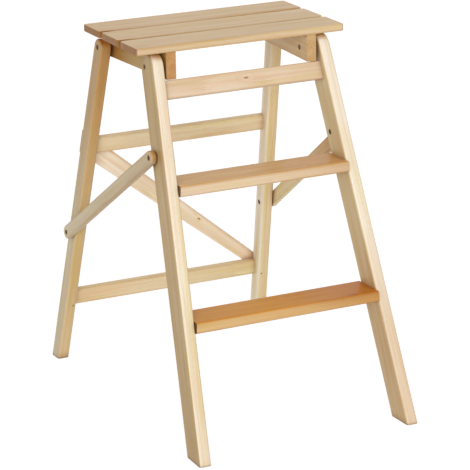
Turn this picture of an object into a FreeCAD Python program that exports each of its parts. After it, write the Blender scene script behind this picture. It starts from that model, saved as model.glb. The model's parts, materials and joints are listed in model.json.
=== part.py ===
# Folding step stool chair in wood: a slatted seat on two cleats, a front frame with two treads,
# a braced rear frame, and two side stays. The seat's rear edge swings down and the rear frame
# closes flat behind the front frame.
# Millimetres. +Z is up, +Y is to the rear, and the origin is on the floor under the middle.
import FreeCAD
import Part
import math
import os

# Seat slats, which run from left to right
seat_height = 660.0
slat_length = 393.0
slat_depth = 70.0
slat_gap = 9.0
slat_thickness = 12.5
slat_corner_radius = 5.0
slat_edge_radius = 1.5

# Cleats, which run from front to rear under the slats
cleat_height = 47.0
cleat_thickness = 18.0
cleat_setback = 1.0
cleat_toe_radius = 12.0
cleat_edge_radius = 1.2

# Pivots in side view
pivot_above_cleat_bottom = 19.5
front_pivot_from_seat_front = 32.5
pivot_spacing = 177.0
stay_pivot_drop = 153.0
stay_length = 391.0
folded_offset = 47.0

# Legs
front_lean = 20.8
splay = 3.4
leg_thickness = 21.3
leg_edge_radius = 4.0
front_leg_width = 51.0
front_pivot_offset = 9.7
front_leg_top_drop = 4.5
rear_leg_width = 30.0
outer_half_span = 168.3

# Rail and treads of the front frame
rail_height = 32.0
rail_thickness = 12.0
rail_setback = 12.5
rail_front_radius = 2.0
rail_rear_radius = 8.0
tread_heights = {"tread_lower": 224.0, "tread_upper": 438.0}
tread_thickness = 19.0
tread_depth = 69.0
tread_overhang = 10.0
tread_nose_radius = 4.0
tread_heel_radius = 2.0

# Crossbars and brace of the rear frame
crossbar_heights = {"crossbar_lower": 134.5, "crossbar_upper": 441.5}
crossbar_width = 30.0
crossbar_setback = 18.0
crossbar_edge_radius = 1.5
brace_upper_width = 36.5
brace_lower_width = 21.5
brace_thickness = 12.0
brace_upper_drop = 17.0
brace_lower_drop = 13.0
brace_end_margin = 6.0
brace_edge_radius = 1.2

# Stays
stay_width = 24.5
stay_thickness = 10.0
stay_edge_radius = 2.5

# Tenons, which reach from the boards into the legs
tenon_length = 12.0
rail_tenon = (6.0, 22.0)
tread_tenon = (40.0, 9.0)
crossbar_tenon = (7.0, 22.0)

# Pivot hardware
bolt_diameter = 6.0
head_diameter = 8.0
head_thickness = 2.4
recess_depth = 3.0
cross_recess_width = 1.2
cross_recess_length = 4.4
cross_recess_depth = 1.2
frame_washer_diameter = 16.0
frame_washer_thickness = 1.8
stay_washer_diameter = 14.0
stay_washer_thickness = 1.0

# Screws and pins
screw_diameter = 4.0
screw_head_diameter = 8.0
screw_head_height = 2.5
slat_screw_offset = 26.0
slat_screw_bite = 9.0
slat_screw_counterbore = 18.0
brace_screw_length = 20.0
brace_screw_inset = 12.0
pin_diameter = 3.0
pin_length = 25.0
pin_below_middle = 5.0

# Clearances
running_clearance = 0.06
turning_clearance = 0.3
joint_clearance = 0.1
rest_clearance = 0.3
frame_gap = 3.0
stay_gap = 2.0

# Larger than the whole stool, for cutting tools
reach = 1000.0

# How edges are picked for rounding: this near a face, this close to level, this close to parallel
pick_margin = 1.0
level_margin = 1e-6
parallel_cosine = 0.999

# Side view positions. The pivots are F (seat to front leg), R (seat to rear leg),
# A (stay to front leg) and B (stay to rear leg).
lean = math.radians(front_lean)
spread = math.tan(math.radians(splay))
cleat_top = seat_height - slat_thickness
cleat_bottom = cleat_top - cleat_height
pivot_height = cleat_bottom + pivot_above_cleat_bottom
seat_depth = 3 * slat_depth + 2 * slat_gap
slat_pitch = slat_depth + slat_gap

# The rear arm R-B is as long as flat folding needs: both frames then lie parallel,
# folded_offset apart at their pivot lines.
rear_arm = (stay_pivot_drop + math.sqrt(stay_length ** 2 - folded_offset ** 2)
            - math.sqrt(pivot_spacing ** 2 - folded_offset ** 2))

# The open shape is the triangle A, R, B seen from R.
a_back = pivot_spacing + stay_pivot_drop * math.sin(lean)
a_down = stay_pivot_drop * math.cos(lean)
a_r = math.hypot(a_back, a_down)
angle_at_r = math.acos((a_r ** 2 + rear_arm ** 2 - stay_length ** 2) / (2 * a_r * rear_arm))
rear_lean = angle_at_r - math.atan2(a_back, a_down)

# The floor under the middle is y = 0, so the feet's front and rear edges set where the seat is.
front_edge_offset = front_leg_width / 2 + front_pivot_offset
front_foot = (front_pivot_from_seat_front - front_edge_offset / math.cos(lean)
              - pivot_height * math.tan(lean))
rear_foot = (front_pivot_from_seat_front + pivot_spacing + rear_leg_width / 2 / math.cos(rear_lean)
             + pivot_height * math.tan(rear_lean))
seat_front = -(front_foot + rear_foot) / 2
f_y = seat_front + front_pivot_from_seat_front
r_y = f_y + pivot_spacing
a_y = f_y - stay_pivot_drop * math.sin(lean)
a_z = pivot_height - stay_pivot_drop * math.cos(lean)
b_y = r_y + rear_arm * math.sin(rear_lean)
b_z = pivot_height - rear_arm * math.cos(rear_lean)
stay_drop = math.atan2(a_z - b_z, b_y - a_y)


def vec(x, y, z):
    return FreeCAD.Vector(x, y, z)


def member(x, y, z, tilt):
    # Local frame of a slanted member: X outwards from its outer face, Z up along it.
    # The member is turned by tilt in side view, and its lower end splays outwards.
    turn = FreeCAD.Rotation(vec(1, 0, 0), math.degrees(tilt))
    turn = turn.multiply(FreeCAD.Rotation(vec(0, 1, 0), -splay))
    return FreeCAD.Placement(vec(x, y, z), turn)


# Outer faces of the members at their pivots, on the right side
r_x = outer_half_span + pivot_spacing * spread
a_x = outer_half_span + stay_pivot_drop * spread
stay_x = a_x + stay_gap + stay_thickness
b_x = stay_x + stay_length * spread
rear_b_x = r_x + rear_arm * spread
cleat_x = outer_half_span - leg_thickness - frame_gap
rear_cleat_x = r_x - leg_thickness - frame_gap

front_leg_frame = member(outer_half_span, f_y, pivot_height, -lean)
rear_leg_frame = member(r_x, r_y, pivot_height, rear_lean)
stay_frame = member(stay_x, a_y, a_z, math.pi / 2 - stay_drop)
front_frame_tilt = FreeCAD.Rotation(vec(1, 0, 0), -front_lean)
rear_frame_tilt = FreeCAD.Rotation(vec(1, 0, 0), math.degrees(rear_lean))
cleat_frame = FreeCAD.Placement(vec(cleat_x, f_y, pivot_height),
                                FreeCAD.Rotation(vec(0, 0, 1), -splay))


def placed(shape, placement):
    moved = shape.copy()
    moved.Placement = placement.multiply(moved.Placement)
    return moved


def mirrored(shape):
    return shape.mirror(vec(0, 0, 0), vec(1, 0, 0))


def block(x0, x1, y0, y1, z0, z1):
    return Part.makeBox(x1 - x0, y1 - y0, z1 - z0, vec(x0, y0, z0))


def rounded(shape, radius, chosen):
    return shape.makeFillet(radius, [edge for edge in shape.Edges if chosen(edge)])


def runs_along(edge, axis):
    direction = edge.Vertexes[-1].Point - edge.Vertexes[0].Point
    return direction.Length > 0 and abs(direction.normalize().dot(axis)) > parallel_cosine


def cut_all(shape, tools):
    for tool in tools:
        shape = shape.cut(tool)
    return shape


def x_bar(x0, x1, y, z, diameter):
    # Round bar or bore along X
    return Part.makeCylinder(diameter / 2, x1 - x0, vec(x0, y, z), vec(1, 0, 0))


def rounded_bar(width, centre, top, bottom, thickness, radius, round_bottom):
    # Flat bar along Z with a half-round top, and with a half-round or square bottom.
    half = width / 2
    left = centre - half
    right = centre + half
    outline = [
        Part.LineSegment(vec(0, right, bottom), vec(0, right, top)).toShape(),
        Part.Arc(vec(0, right, top), vec(0, centre, top + half), vec(0, left, top)).toShape(),
        Part.LineSegment(vec(0, left, top), vec(0, left, bottom)).toShape(),
    ]
    if round_bottom:
        outline.append(Part.Arc(vec(0, left, bottom), vec(0, centre, bottom - half),
                                vec(0, right, bottom)).toShape())
    else:
        outline.append(Part.LineSegment(vec(0, left, bottom), vec(0, right, bottom)).toShape())
    bar = Part.Face(Part.Wire(outline)).extrude(vec(-thickness, 0, 0))
    square_end = None if round_bottom else bottom

    def is_rim(edge):
        middle = edge.BoundBox
        if square_end is not None and middle.ZMax < square_end + pick_margin:
            return False
        return middle.XLength < level_margin

    return rounded(bar, radius, is_rim)


def outside_leg(leg_frame, inset):
    # Everything from the leg's inner face outwards, or from inset mm inside its outer face.
    return placed(block(-inset, reach, -reach, reach, -reach, reach), leg_frame)


def above_floor(shape):
    return shape.cut(block(-reach, reach, -reach, reach, -reach, 0))


def tilted_box(rotation, y, z, x_half, n0, n1, s0, s1):
    # Box in a frame's own plane: n is its depth behind (y, z), s its height above that point.
    return placed(block(-x_half, x_half, n0, n1, s0, s1),
                  FreeCAD.Placement(vec(0, y, z), rotation))


def crosspiece(board, leg_frame, tenon):
    # Board shouldered between both legs, with a tenon into each.
    outer = outside_leg(leg_frame, leg_thickness)
    return board.cut(outer).cut(mirrored(outer)).fuse(tenon).removeSplitter()


# Front frame

def front_point(down, behind):
    # Point in side view, from pivot F: down along the leg and behind its pivot line.
    return (f_y - down * math.sin(lean) + behind * math.cos(lean),
            pivot_height - down * math.cos(lean) - behind * math.sin(lean))


def rail_down():
    # The rail's front top edge meets the cleats' underside.
    behind = rail_setback - front_edge_offset
    top = cleat_bottom - rest_clearance
    return (pivot_height - behind * math.sin(lean) - top) / math.cos(lean)


def rail_board():
    n0 = rail_setback - front_edge_offset
    n1 = n0 + rail_thickness
    top = -rail_down()
    board = block(-reach / 2, reach / 2, n0, n1, top - rail_height, top)
    board = rounded(board, rail_rear_radius,
                    lambda e: runs_along(e, vec(1, 0, 0)) and e.BoundBox.YMin > n1 - pick_margin
                    and e.BoundBox.ZMin > top - pick_margin)
    board = rounded(board, rail_front_radius,
                    lambda e: runs_along(e, vec(1, 0, 0)) and e.BoundBox.YMax < n0 + pick_margin)
    return placed(board, FreeCAD.Placement(vec(0, f_y, pivot_height), front_frame_tilt))


def rail_tenon_bar(growth):
    depth, height = rail_tenon
    middle_n = rail_setback - front_edge_offset + rail_thickness / 2
    down = rail_down() + rail_height / 2
    x_half = outer_half_span - leg_thickness + down * spread + tenon_length + growth
    return tilted_box(front_frame_tilt, f_y, pivot_height, x_half,
                      middle_n - depth / 2 - growth, middle_n + depth / 2 + growth,
                      -down - height / 2 - growth, -down + height / 2 + growth)


def tread_front(top):
    # The tread's nose overhangs the legs' front edges.
    down = (pivot_height + front_edge_offset * math.sin(lean) - top) / math.cos(lean)
    return front_point(down, -front_edge_offset)[0] - tread_overhang


def tread_board(top):
    y0 = tread_front(top)
    board = block(-reach / 2, reach / 2, y0, y0 + tread_depth, top - tread_thickness, top)
    board = rounded(board, tread_nose_radius,
                    lambda e: runs_along(e, vec(1, 0, 0)) and e.BoundBox.YMax < y0 + pick_margin)
    heel = y0 + tread_depth - pick_margin
    return rounded(board, tread_heel_radius,
                   lambda e: runs_along(e, vec(1, 0, 0)) and e.BoundBox.YMin > heel)


def tread_tenon_bar(top, growth):
    depth, height = tread_tenon
    middle_z = top - tread_thickness / 2
    down = (pivot_height - middle_z) / math.cos(lean)
    middle_y = front_point(down, -front_pivot_offset)[0]
    x_half = outer_half_span - leg_thickness + down * spread + tenon_length + growth
    return block(-x_half, x_half, middle_y - depth / 2 - growth, middle_y + depth / 2 + growth,
                 middle_z - height / 2 - growth, middle_z + height / 2 + growth)


def front_leg():
    length = pivot_height / math.cos(lean) + front_leg_width
    bar = rounded_bar(front_leg_width, -front_pivot_offset, -front_leg_top_drop, -length,
                      leg_thickness, leg_edge_radius, False)
    leg = above_floor(placed(bar, front_leg_frame))
    for top in tread_heights.values():
        leg = leg.cut(tread_tenon_bar(top, joint_clearance))
    leg = leg.cut(rail_tenon_bar(joint_clearance))
    for x, y, z in ((outer_half_span, f_y, pivot_height), (a_x, a_y, a_z)):
        leg = leg.cut(x_bar(x - 2 * leg_thickness, x + leg_thickness, y, z,
                            bolt_diameter + 2 * running_clearance))
    leg = leg.cut(recess(outer_half_span - recess_depth, 1, f_y, pivot_height))
    return leg.cut(recess(a_x - leg_thickness + recess_depth, -1, a_y, a_z))


# Rear frame

def in_rear_frame(shape):
    # From the frame's own plane, with its height counted from R, to the open stool
    return placed(shape, FreeCAD.Placement(vec(0, r_y, pivot_height), rear_frame_tilt))


def crossbar_down(top):
    # Distance down the rear frame to a crossbar's upper edge
    behind = crossbar_setback - rear_leg_width / 2
    return (pivot_height + behind * math.sin(rear_lean) - top) / math.cos(rear_lean)


def crossbar_board(top):
    n0 = crossbar_setback - rear_leg_width / 2
    n1 = rear_leg_width / 2
    s1 = -crossbar_down(top)
    board = block(-reach / 2, reach / 2, n0, n1, s1 - crossbar_width, s1)
    board = rounded(board, crossbar_edge_radius, lambda e: runs_along(e, vec(1, 0, 0)))
    return in_rear_frame(board)


def crossbar_tenon_bar(top, growth):
    depth, height = crossbar_tenon
    middle_n = crossbar_setback / 2
    down = crossbar_down(top) + crossbar_width / 2
    x_half = r_x - leg_thickness + down * spread + tenon_length + growth
    return tilted_box(rear_frame_tilt, r_y, pivot_height, x_half,
                      middle_n - depth / 2 - growth, middle_n + depth / 2 + growth,
                      -down - height / 2 - growth, -down + height / 2 + growth)


def rear_leg():
    length = pivot_height / math.cos(rear_lean) + rear_leg_width
    bar = rounded_bar(rear_leg_width, 0, 0, -length, leg_thickness, leg_edge_radius, False)
    leg = above_floor(placed(bar, rear_leg_frame))
    for top in crossbar_heights.values():
        leg = leg.cut(crossbar_tenon_bar(top, joint_clearance))
    for x, y, z in ((r_x, r_y, pivot_height), (rear_b_x, b_y, b_z)):
        leg = leg.cut(x_bar(x - 2 * leg_thickness, x + leg_thickness, y, z,
                            bolt_diameter + 2 * running_clearance))
    leg = leg.cut(recess(r_x - recess_depth, 1, r_y, pivot_height))
    return leg.cut(recess(rear_b_x - leg_thickness + recess_depth, -1, b_y, b_z))


def brace_ends():
    # The brace's middle line, from the left leg's middle to the right leg's, as (x, s):
    # each end lies a drop below the upper edge of the crossbar beside it.
    upper = crossbar_down(crossbar_heights["crossbar_upper"]) + brace_upper_drop
    lower = crossbar_down(crossbar_heights["crossbar_lower"]) + brace_lower_drop
    leg_middle = r_x - leg_thickness / 2
    return ((-leg_middle - upper * spread, -upper), (leg_middle + lower * spread, -lower))


def brace_slope():
    (x0, s0), (x1, s1) = brace_ends()
    return math.atan2(s1 - s0, x1 - x0)


def brace_half_width(share):
    # The brace narrows evenly from its upper end, at 0, to its lower end, at 1.
    return (brace_upper_width * (1 - share) + brace_lower_width * share) / 2


def diagonal_brace():
    # Drawn along its middle line, past both legs, and cut off just inside their outer faces
    (x0, s0), (x1, s1) = brace_ends()
    length = math.hypot(x1 - x0, s1 - s0)
    front = rear_leg_width / 2
    start = -leg_thickness
    end = length + leg_thickness
    start_half = brace_half_width(start / length)
    end_half = brace_half_width(end / length)
    outline = Part.makePolygon([vec(start, front, start_half), vec(end, front, end_half),
                                vec(end, front, -end_half), vec(start, front, -start_half),
                                vec(start, front, start_half)])
    board = Part.Face(outline).extrude(vec(0, brace_thickness, 0))
    board = rounded(board, brace_edge_radius, lambda e: e.Length > length)
    turn = FreeCAD.Rotation(vec(0, 1, 0), -math.degrees(brace_slope()))
    board = in_rear_frame(placed(board, FreeCAD.Placement(vec(x0, 0, s0), turn)))
    outer = outside_leg(rear_leg_frame, brace_end_margin)
    return board.cut(outer).cut(mirrored(outer))


def brace_screw_places():
    # At each end one screw goes into the leg, on the brace's middle line, and one into the
    # crossbar, halfway up the patch where the brace covers it.
    (x0, s0), (x1, s1) = brace_ends()
    places = [(x0, s0), (x1, s1)]
    for side, name in ((-1, "crossbar_upper"), (1, "crossbar_lower")):
        top = -crossbar_down(crossbar_heights[name])
        x = side * (r_x - leg_thickness - top * spread - brace_screw_inset)
        share = (x - x0) / (x1 - x0)
        middle = s0 + (s1 - s0) * share
        half = brace_half_width(share) / math.cos(brace_slope())
        high = min(middle + half, top)
        low = max(middle - half, top - crossbar_width)
        places.append((x, (low + high) / 2))
    return places


def brace_screw_bars(growth):
    # Screws driven forwards through the brace, with their heads sunk flush in its rear face
    rear_face = rear_leg_width / 2 + brace_thickness
    bars = []
    for x, s in brace_screw_places():
        shank = Part.makeCylinder(screw_diameter / 2 + growth, brace_screw_length + growth,
                                  vec(x, rear_face, s), vec(0, -1, 0))
        head = Part.makeCone(screw_head_diameter / 2 + growth, screw_diameter / 2 + growth,
                             screw_head_height + growth, vec(x, rear_face, s), vec(0, -1, 0))
        bars.append(in_rear_frame(shank.fuse(head).removeSplitter()))
    return bars


def pin_bars(growth):
    # One pin through each tenon of the lower crossbar, driven from the legs' front edges
    middle = crossbar_down(crossbar_heights["crossbar_lower"]) + crossbar_width / 2
    down = middle + pin_below_middle
    x = r_x - leg_thickness + down * spread + tenon_length / 2
    bars = []
    for side in (-1, 1):
        pin = Part.makeCylinder(pin_diameter / 2 + growth, pin_length + growth,
                                vec(side * x, -rear_leg_width / 2, -down), vec(0, 1, 0))
        bars.append(in_rear_frame(pin))
    return bars


# Seat

def seat_slat(index):
    y0 = seat_front + index * slat_pitch
    slat = block(-slat_length / 2, slat_length / 2, y0, y0 + slat_depth, cleat_top, seat_height)
    slat = rounded(slat, slat_corner_radius, lambda e: runs_along(e, vec(0, 0, 1)))
    slat = rounded(slat, slat_edge_radius, lambda e: e.BoundBox.ZLength < level_margin)
    return cut_all(slat, slat_screw_bars(joint_clearance))


def slat_screw_places():
    # Two screws through each cleat into each slat, either side of its middle
    places = []
    for index in range(3):
        middle = seat_front + index * slat_pitch + slat_depth / 2
        for y in (middle - slat_screw_offset, middle + slat_screw_offset):
            x = cleat_x - cleat_thickness / 2 + (y - f_y) * spread
            places.append((x, y))
            places.append((-x, y))
    return places


def slat_screw_bars(growth):
    head_z = cleat_bottom + slat_screw_counterbore
    bars = []
    for x, y in slat_screw_places():
        shank = Part.makeCylinder(screw_diameter / 2 + growth,
                                  cleat_top + slat_screw_bite + growth - head_z, vec(x, y, head_z))
        head = Part.makeCylinder(screw_head_diameter / 2 + growth, screw_head_height + growth,
                                 vec(x, y, head_z - screw_head_height))
        bars.append(shank.fuse(head).removeSplitter())
    return bars


def slat_screw_wells():
    # Deep counterbores in the cleats' undersides, up to the screws' heads
    return [Part.makeCylinder(screw_head_diameter / 2 + joint_clearance,
                              slat_screw_counterbore, vec(x, y, cleat_bottom))
            for x, y in slat_screw_places()]


def cleat():
    # The cleat follows the legs' splay in plan: its rear end is farther out than its front end.
    low = cleat_bottom - pivot_height
    high = cleat_top - pivot_height
    bar = block(-cleat_thickness, 0, -slat_depth, seat_depth + slat_depth, low, high)
    bar = placed(bar, cleat_frame)
    y0 = seat_front + cleat_setback
    y1 = seat_front + seat_depth - cleat_setback
    bar = bar.common(block(0, reach, y0, y1, 0, reach))
    bar = rounded(bar, cleat_toe_radius,
                  lambda e: e.BoundBox.YMin > y1 - pick_margin
                  and e.BoundBox.ZMax < cleat_bottom + pick_margin)
    bar = rounded(bar, cleat_edge_radius, lambda e: e.BoundBox.ZMax < cleat_bottom + pick_margin
                  and e.BoundBox.YLength > slat_depth)
    for x, y in ((cleat_x, f_y), (rear_cleat_x, r_y)):
        bar = bar.cut(x_bar(x - 2 * cleat_thickness, x + cleat_thickness, y, pivot_height,
                            bolt_diameter + 2 * running_clearance))
        bar = bar.cut(recess(x - cleat_thickness + recess_depth, -1, y, pivot_height))
    bar = cut_all(bar, slat_screw_bars(joint_clearance))
    return cut_all(bar, slat_screw_wells())


# Stays

def stay():
    true_length = stay_length / math.cos(math.radians(splay))
    bar = rounded_bar(stay_width, 0, 0, -true_length, stay_thickness, stay_edge_radius, True)
    bar = placed(bar, stay_frame)
    for x, y, z in ((stay_x, a_y, a_z), (b_x, b_y, b_z)):
        bar = bar.cut(x_bar(x - 2 * stay_thickness, x + stay_thickness, y, z,
                            bolt_diameter + 2 * running_clearance))
        bar = bar.cut(recess(x - recess_depth, 1, y, z))
    return bar


# Pivot hardware. Heads and nuts lie in recesses, just under the faces of the wood.

head_seat_depth = recess_depth - turning_clearance


def nut_place(inner_face):
    # Where a nut starts along X, under the inner face that it is sunk in
    return inner_face + head_seat_depth - head_thickness


seat_nut_x = nut_place(cleat_x - cleat_thickness)
rear_nut_x = nut_place(rear_cleat_x - cleat_thickness)
stay_top_nut_x = nut_place(a_x - leg_thickness)
stay_bottom_nut_x = nut_place(rear_b_x - leg_thickness)


def recess(x, outwards, y, z):
    # Round recess for a head or nut, from x to well outside the face it is sunk in
    diameter = head_diameter + 2 * turning_clearance
    far = x + outwards * leg_thickness
    return x_bar(min(x, far), max(x, far), y, z, diameter)


def bolt(x_seat, x_end, y, z):
    # Bolt along X whose head sits at x_seat, with a crossed driver recess
    shank = x_bar(x_end, x_seat, y, z, bolt_diameter)
    head = x_bar(x_seat, x_seat + head_thickness, y, z, head_diameter)
    half_w = cross_recess_width / 2
    half_l = cross_recess_length / 2
    slot_x = x_seat + head_thickness - cross_recess_depth
    slots = block(slot_x, slot_x + recess_depth, y - half_w, y + half_w, z - half_l, z + half_l)
    slots = slots.fuse(block(slot_x, slot_x + recess_depth, y - half_l, y + half_l,
                             z - half_w, z + half_w))
    return shank.fuse(head).cut(slots).removeSplitter()


def nut(x_end, y, z):
    # Round nut that starts at x_end, its end towards the middle of the stool
    ring = x_bar(x_end, x_end + head_thickness, y, z, head_diameter)
    return ring.cut(x_bar(x_end - head_thickness, x_end + 2 * head_thickness, y, z,
                          bolt_diameter + 2 * running_clearance))


def washer(frame_placement, x_face, down, y, z, diameter, thickness):
    # Washer lying on a slanted face, round the bore at (y, z)
    disc = Part.makeCylinder(diameter / 2, thickness, vec(x_face, 0, down), vec(1, 0, 0))
    disc = placed(disc, frame_placement)
    return disc.cut(x_bar(0, reach, y, z, bolt_diameter + 2 * running_clearance))


def pair(shape):
    return Part.Compound([shape, mirrored(shape)])


def seat_washer():
    # Lies on the cleat's outer face
    return washer(cleat_frame, joint_clearance, 0, f_y, pivot_height,
                  frame_washer_diameter, frame_washer_thickness)


def rear_washer():
    turned = FreeCAD.Placement(vec(rear_cleat_x, r_y, pivot_height), cleat_frame.Rotation)
    return washer(turned, joint_clearance, 0, r_y, pivot_height,
                  frame_washer_diameter, frame_washer_thickness)


def stay_top_washer():
    # Lies on the front leg's outer face
    down = -stay_pivot_drop / math.cos(math.radians(splay))
    return washer(front_leg_frame, joint_clearance, down, a_y, a_z,
                  stay_washer_diameter, stay_washer_thickness)


def stay_bottom_washer():
    # Lies on the stay's inner face
    down = -stay_length / math.cos(math.radians(splay))
    x_face = -stay_thickness - stay_washer_thickness - joint_clearance
    return washer(stay_frame, x_face, down, b_y, b_z, stay_washer_diameter, stay_washer_thickness)


def bottom_stub():
    # The nut's own end of the lower stay bolt stays in the leg's bore.
    shank = x_bar(stay_bottom_nut_x, rear_b_x - running_clearance, b_y, b_z, bolt_diameter)
    cap = x_bar(stay_bottom_nut_x, stay_bottom_nut_x + head_thickness, b_y, b_z, head_diameter)
    return shank.fuse(cap).removeSplitter()


def build():
    parts = {}
    right_front_leg = front_leg()
    parts["front_leg_right"] = right_front_leg
    parts["front_leg_left"] = mirrored(right_front_leg)
    parts["top_rail"] = crosspiece(rail_board(), front_leg_frame, rail_tenon_bar(0))
    for name, top in tread_heights.items():
        parts[name] = crosspiece(tread_board(top), front_leg_frame, tread_tenon_bar(top, 0))

    rear_holes = brace_screw_bars(joint_clearance) + pin_bars(joint_clearance)
    plain_rear_leg = rear_leg()
    parts["rear_leg_right"] = cut_all(plain_rear_leg, rear_holes)
    parts["rear_leg_left"] = cut_all(mirrored(plain_rear_leg), rear_holes)
    for name, top in crossbar_heights.items():
        bar = crosspiece(crossbar_board(top), rear_leg_frame, crossbar_tenon_bar(top, 0))
        parts[name] = cut_all(bar, rear_holes)
    parts["diagonal_brace"] = cut_all(diagonal_brace(), rear_holes)
    parts["brace_screws"] = Part.Compound(brace_screw_bars(0))
    parts["crossbar_pins"] = Part.Compound(pin_bars(0))

    for index, name in enumerate(("seat_slat_front", "seat_slat_middle", "seat_slat_rear")):
        parts[name] = seat_slat(index)
    right_cleat = cleat()
    parts["cleat_right"] = right_cleat
    parts["cleat_left"] = mirrored(right_cleat)
    parts["slat_screws"] = Part.Compound(slat_screw_bars(0))

    right_stay = stay()
    parts["stay_right"] = right_stay
    parts["stay_left"] = mirrored(right_stay)

    parts["seat_pivot_bolts"] = pair(bolt(outer_half_span - head_seat_depth, seat_nut_x, f_y, pivot_height))
    parts["seat_pivot_nuts"] = pair(nut(seat_nut_x, f_y, pivot_height))
    parts["seat_pivot_washers"] = pair(seat_washer())
    parts["rear_pivot_bolts"] = pair(bolt(r_x - head_seat_depth, rear_nut_x, r_y, pivot_height))
    parts["rear_pivot_nuts"] = pair(nut(rear_nut_x, r_y, pivot_height))
    parts["rear_pivot_washers"] = pair(rear_washer())
    parts["stay_top_bolts"] = pair(bolt(stay_x - head_seat_depth, stay_top_nut_x, a_y, a_z))
    parts["stay_top_nuts"] = pair(nut(stay_top_nut_x, a_y, a_z))
    parts["stay_top_washers"] = pair(stay_top_washer())
    parts["stay_bottom_nuts"] = pair(bottom_stub())
    lower_bolt = bolt(b_x - head_seat_depth, b_x - stay_thickness, b_y, b_z)
    parts["stay_bottom_bolt_right"] = lower_bolt
    parts["stay_bottom_bolt_left"] = mirrored(lower_bolt)
    lower_washer = stay_bottom_washer()
    parts["stay_bottom_washer_right"] = lower_washer
    parts["stay_bottom_washer_left"] = mirrored(lower_washer)
    return parts


os.makedirs("parts", exist_ok=True)
for node, shape in build().items():
    shape.exportStep("parts/" + node + ".step")
    print(node, "solids", len(shape.Solids), "valid", shape.isValid(), "volume", round(shape.Volume))
print("rear lean", round(math.degrees(rear_lean), 3), "rear arm", round(rear_arm, 3))
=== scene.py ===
# Folding step stool chair in pale wood: the finishes, the steel fittings and the studio stage.
# Metres, in the part's own frame: +Z up, +Y to the rear, feet on the floor at Z = 0.
import json
import math

import bmesh
import bpy
import numpy as np
from mathutils import Matrix, Vector

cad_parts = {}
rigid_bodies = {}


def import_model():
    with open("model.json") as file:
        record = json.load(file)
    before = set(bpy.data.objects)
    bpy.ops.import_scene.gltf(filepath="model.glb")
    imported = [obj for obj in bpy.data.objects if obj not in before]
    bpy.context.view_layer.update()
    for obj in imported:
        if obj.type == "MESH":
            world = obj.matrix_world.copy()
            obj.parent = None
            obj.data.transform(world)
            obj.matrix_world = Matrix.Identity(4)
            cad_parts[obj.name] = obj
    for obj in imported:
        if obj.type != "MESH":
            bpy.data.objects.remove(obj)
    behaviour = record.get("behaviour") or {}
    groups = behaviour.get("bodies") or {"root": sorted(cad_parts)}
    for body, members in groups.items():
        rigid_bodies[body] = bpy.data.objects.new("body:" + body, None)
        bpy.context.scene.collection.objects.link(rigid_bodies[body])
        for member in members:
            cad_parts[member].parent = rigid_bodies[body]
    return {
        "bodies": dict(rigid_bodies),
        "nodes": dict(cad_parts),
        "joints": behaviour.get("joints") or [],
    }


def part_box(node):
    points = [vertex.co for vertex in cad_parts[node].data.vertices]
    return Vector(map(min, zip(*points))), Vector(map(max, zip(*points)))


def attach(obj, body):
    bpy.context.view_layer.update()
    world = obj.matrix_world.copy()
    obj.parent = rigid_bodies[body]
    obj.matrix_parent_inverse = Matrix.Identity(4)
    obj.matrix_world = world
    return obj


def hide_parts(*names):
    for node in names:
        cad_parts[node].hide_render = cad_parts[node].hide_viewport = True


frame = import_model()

bl_info = {
    "name": "Folding Step Stool",
    "version": (1, 0, 0),
    "blender": (4, 5, 0),
    "location": "View3D > Sidebar > Stool",
    "description": "Wood finishes, steel fittings and a studio stage for a folding step stool chair",
    "category": "Object",
}

MILLIMETRE = 0.001


def clear_startup_objects():
    """Removes whatever was in the scene before the frame was loaded."""
    kept = list(frame["nodes"].values()) + list(frame["bodies"].values())
    for thing in list(bpy.data.objects):
        if thing not in kept:
            bpy.data.objects.remove(thing)


clear_startup_objects()
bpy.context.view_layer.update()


def paint(red, green, blue):
    """Scene colour of a tone that is given as it shows on a screen, from 0 to 255."""
    shares = (red / 255, green / 255, blue / 255)
    return tuple(s / 12.92 if s <= 0.04045 else ((s + 0.055) / 1.055) ** 2.4 for s in shares)


def colour_property(name, tone):
    return bpy.props.FloatVectorProperty(
        name=name, description=name + ", as the tone shows on a screen", default=paint(*tone),
        subtype="COLOR", size=3, min=0.0, max=1.0)


def length_property(name, description, default):
    return bpy.props.FloatProperty(
        name=name, description=description, default=default, min=0.0, unit="LENGTH", precision=5)


def share_property(name, description, default):
    return bpy.props.FloatProperty(
        name=name, description=description, default=default, min=0.0, max=1.0, subtype="FACTOR")


def angle_property(name, description, degrees):
    return bpy.props.FloatProperty(
        name=name, description=description, default=math.radians(degrees), subtype="ANGLE")


def level_property(name, description, default):
    return bpy.props.FloatProperty(name=name, description=description, default=default, min=0.0)


# What a user would change

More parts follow.
